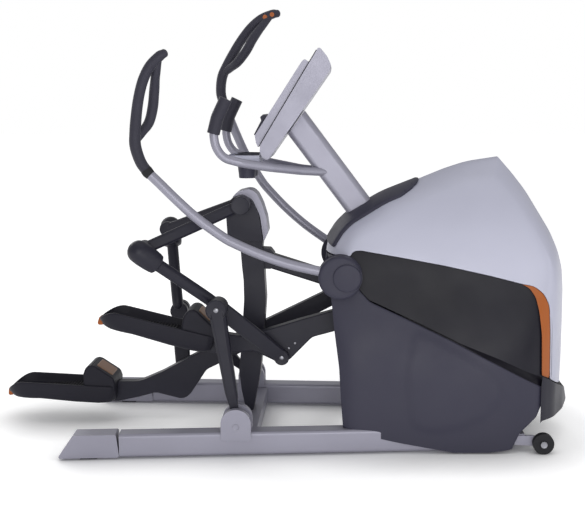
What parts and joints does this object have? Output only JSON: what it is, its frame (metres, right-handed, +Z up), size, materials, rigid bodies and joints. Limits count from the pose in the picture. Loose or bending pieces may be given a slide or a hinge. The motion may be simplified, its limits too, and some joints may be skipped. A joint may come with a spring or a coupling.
{
  "type": "elliptical trainer",
  "caption": "Rear-column elliptical trainer: linked foot pedals and swinging handles drive a belted flywheel in a hollow front housing on splayed rails.",
  "frame": {"origin": "centre of the footprint box at floor level", "axes": "+X from the pedals towards the drive housing, +Y to the user's left, +Z up"},
  "size_m": [2.1988, 0.8146, 1.632],
  "materials": {
    "silver_paint": "satin silver powder coat",
    "silver_plastic": "satin silver moulded plastic",
    "charcoal_paint": "satin charcoal powder coat",
    "charcoal_plastic": "fine textured charcoal plastic",
    "dark_panel": "semi-gloss near-black plastic",
    "orange_trim": "orange moulded plastic",
    "display_glass": "black glass-like display window",
    "soft_grip": "soft textured grip rubber",
    "rubber": "black rubber",
    "steel": "bright steel",
    "inner_frame": "black paint",
    "cast_iron": "machined cast iron",
    "pedal_plastic": "textured charcoal pedal plastic"
  },
  "bodies": {
    "frame": {"rail_right": "silver_paint", "rail_left": "silver_paint", "rail_end_caps": "silver_plastic", "rail_feet": "rubber", "cross_member": "silver_paint", "front_base_tube": "silver_paint", "center_column": "charcoal_paint", "column_head_cover": "silver_plastic", "column_strut": "charcoal_paint", "rocker_covers": "silver_plastic", "pivot_shafts": "steel", "mast": "silver_paint", "mast_cover": "charcoal_plastic", "console_back": "silver_plastic", "console_gasket": "dark_panel", "console_bezel": "silver_plastic", "console_display": "display_glass", "reading_ledge": "charcoal_plastic", "stationary_bars": "silver_paint", "stationary_grips": "soft_grip", "accessory_tray": "silver_plastic", "cup_holders": "charcoal_plastic", "upper_shroud_right": "silver_plastic", "upper_shroud_left": "silver_plastic", "lower_shroud_right": "charcoal_plastic", "lower_shroud_left": "charcoal_plastic", "recess_panels": "dark_panel", "accent_strips": "orange_trim", "front_bumper": "charcoal_plastic", "rear_panel": "charcoal_plastic", "drive_frame": "inner_frame", "idler_bracket": "inner_frame", "drive_belt": "rubber", "brake_unit": "steel"},
    "crank": {"crank": "steel", "crank_pulley": "inner_frame"},
    "flywheel": {"flywheel": "cast_iron"},
    "idler": {"idler_pulley": "rubber"},
    "rocker_right": {"rocker_right": "charcoal_paint"},
    "hanging_link_right": {"hanging_link_right": "charcoal_paint"},
    "pedal_arm_right": {"pedal_arm_right": "charcoal_paint", "pedal_right": "pedal_plastic"},
    "upper_arm_right": {"upper_arm_right": "charcoal_paint"},
    "handlebar_right": {"handlebar_right": "silver_paint", "handle_grip_right": "soft_grip"},
    "thumb_button_up_right": {"thumb_button_up_right": "orange_trim"},
    "thumb_button_down_right": {"thumb_button_down_right": "orange_trim"},
    "transport_wheel_right": {"transport_wheel_right": "rubber"},
    "rocker_left": {"rocker_left": "charcoal_paint"},
    "hanging_link_left": {"hanging_link_left": "charcoal_paint"},
    "pedal_arm_left": {"pedal_arm_left": "charcoal_paint", "pedal_left": "pedal_plastic"},
    "upper_arm_left": {"upper_arm_left": "charcoal_paint"},
    "handlebar_left": {"handlebar_left": "silver_paint", "handle_grip_left": "soft_grip"},
    "thumb_button_up_left": {"thumb_button_up_left": "orange_trim"},
    "thumb_button_down_left": {"thumb_button_down_left": "orange_trim"},
    "transport_wheel_left": {"transport_wheel_left": "rubber"}
  },
  "joints": [
    {"name": "crank_turn", "type": "hinge", "parent": "frame", "child": "crank", "pos_m": [0.5122, 0, 0.57608], "axis": [0, -1, 0], "range_deg": [0, 180]},
    {"name": "flywheel_spin", "type": "hinge", "parent": "frame", "child": "flywheel", "pos_m": [0.8335, 0, 0.43], "axis": [0, -1, 0], "range_deg": [0, 750]},
    {"name": "idler_spin", "type": "hinge", "parent": "frame", "child": "idler", "pos_m": [0.70055, 0, 0.37492], "axis": [0, -1, 0], "range_deg": [-964.29, 0]},
    {"name": "rocker_pivot_right", "type": "hinge", "parent": "frame", "child": "rocker_right", "pos_m": [-0.1465, -0.33, 0.114], "axis": [0, -1, 0], "range_deg": [0, 33.8]},
    {"name": "link_pivot_right", "type": "hinge", "parent": "rocker_right", "child": "hanging_link_right", "pos_m": [-0.21816, -0.26, 0.52459], "axis": [0, -1, 0], "range_deg": [-75.96, 0]},
    {"name": "knee_pivot_right", "type": "hinge", "parent": "hanging_link_right", "child": "pedal_arm_right", "pos_m": [0.00754, -0.146, 0.31723], "axis": [0, -1, 0], "range_deg": [0, 53.16]},
    {"name": "upper_arm_pivot_right", "type": "hinge", "parent": "frame", "child": "upper_arm_right", "pos_m": [-0.141, -0.11, 0.8846], "axis": [0, -1, 0], "range_deg": [-1.39, 0]},
    {"name": "handle_pivot_right", "type": "hinge", "parent": "frame", "child": "handlebar_right", "pos_m": [0.2505, -0.299, 0.644], "axis": [0, -1, 0], "range_deg": [-23, 0]},
    {"name": "thumb_press_up_right", "type": "slide", "parent": "handlebar_right", "child": "thumb_button_up_right", "axis": [0, -1, 0], "range_m": [0, 0.0015], "stiffness_N_per_m": 400},
    {"name": "thumb_press_down_right", "type": "slide", "parent": "handlebar_right", "child": "thumb_button_down_right", "axis": [0, -1, 0], "range_m": [0, 0.0015], "stiffness_N_per_m": 400},
    {"name": "wheel_spin_right", "type": "hinge", "parent": "frame", "child": "transport_wheel_right", "pos_m": [0.9625, -0.326, 0.038], "axis": [0, 1, 0], "continuous": true},
    {"name": "rocker_pivot_left", "type": "hinge", "parent": "frame", "child": "rocker_left", "pos_m": [-0.1465, 0.33, 0.114], "axis": [0, -1, 0], "range_deg": [-33.8, 0]},
    {"name": "link_pivot_left", "type": "hinge", "parent": "rocker_left", "child": "hanging_link_left", "pos_m": [-0.43446, 0.26, 0.41533], "axis": [0, -1, 0], "range_deg": [0, 75.96]},
    {"name": "knee_pivot_left", "type": "hinge", "parent": "hanging_link_left", "child": "pedal_arm_left", "pos_m": [-0.40632, 0.146, 0.11013], "axis": [0, -1, 0], "range_deg": [-53.16, 0]},
    {"name": "upper_arm_pivot_left", "type": "hinge", "parent": "frame", "child": "upper_arm_left", "pos_m": [-0.141, 0.11, 0.8846], "axis": [0, -1, 0], "range_deg": [0, 1.39]},
    {"name": "handle_pivot_left", "type": "hinge", "parent": "frame", "child": "handlebar_left", "pos_m": [0.2505, 0.299, 0.644], "axis": [0, -1, 0], "range_deg": [0, 23]},
    {"name": "thumb_press_up_left", "type": "slide", "parent": "handlebar_left", "child": "thumb_button_up_left", "axis": [0, 1, 0], "range_m": [0, 0.0015], "stiffness_N_per_m": 400},
    {"name": "thumb_press_down_left", "type": "slide", "parent": "handlebar_left", "child": "thumb_button_down_left", "axis": [0, 1, 0], "range_m": [0, 0.0015], "stiffness_N_per_m": 400},
    {"name": "wheel_spin_left", "type": "hinge", "parent": "frame", "child": "transport_wheel_left", "pos_m": [0.9625, 0.326, 0.038], "axis": [0, 1, 0], "continuous": true}
  ],
  "couplings": [
    {"joint": "flywheel_spin", "follows": "crank_turn", "ratio": 4.1667},
    {"joint": "idler_spin", "follows": "crank_turn", "ratio": -5.3571},
    {"joint": "rocker_pivot_right", "follows": "crank_turn", "ratio": 0.18778},
    {"joint": "link_pivot_right", "follows": "crank_turn", "ratio": -0.42198},
    {"joint": "knee_pivot_right", "follows": "crank_turn", "ratio": 0.29531},
    {"joint": "upper_arm_pivot_right", "follows": "crank_turn", "ratio": -0.0077455},
    {"joint": "handle_pivot_right", "follows": "crank_turn", "ratio": -0.12778},
    {"joint": "rocker_pivot_left", "follows": "crank_turn", "ratio": -0.18778},
    {"joint": "link_pivot_left", "follows": "crank_turn", "ratio": 0.42198},
    {"joint": "knee_pivot_left", "follows": "crank_turn", "ratio": -0.29531},
    {"joint": "upper_arm_pivot_left", "follows": "crank_turn", "ratio": 0.0077455},
    {"joint": "handle_pivot_left", "follows": "crank_turn", "ratio": 0.12778}
  ]
}
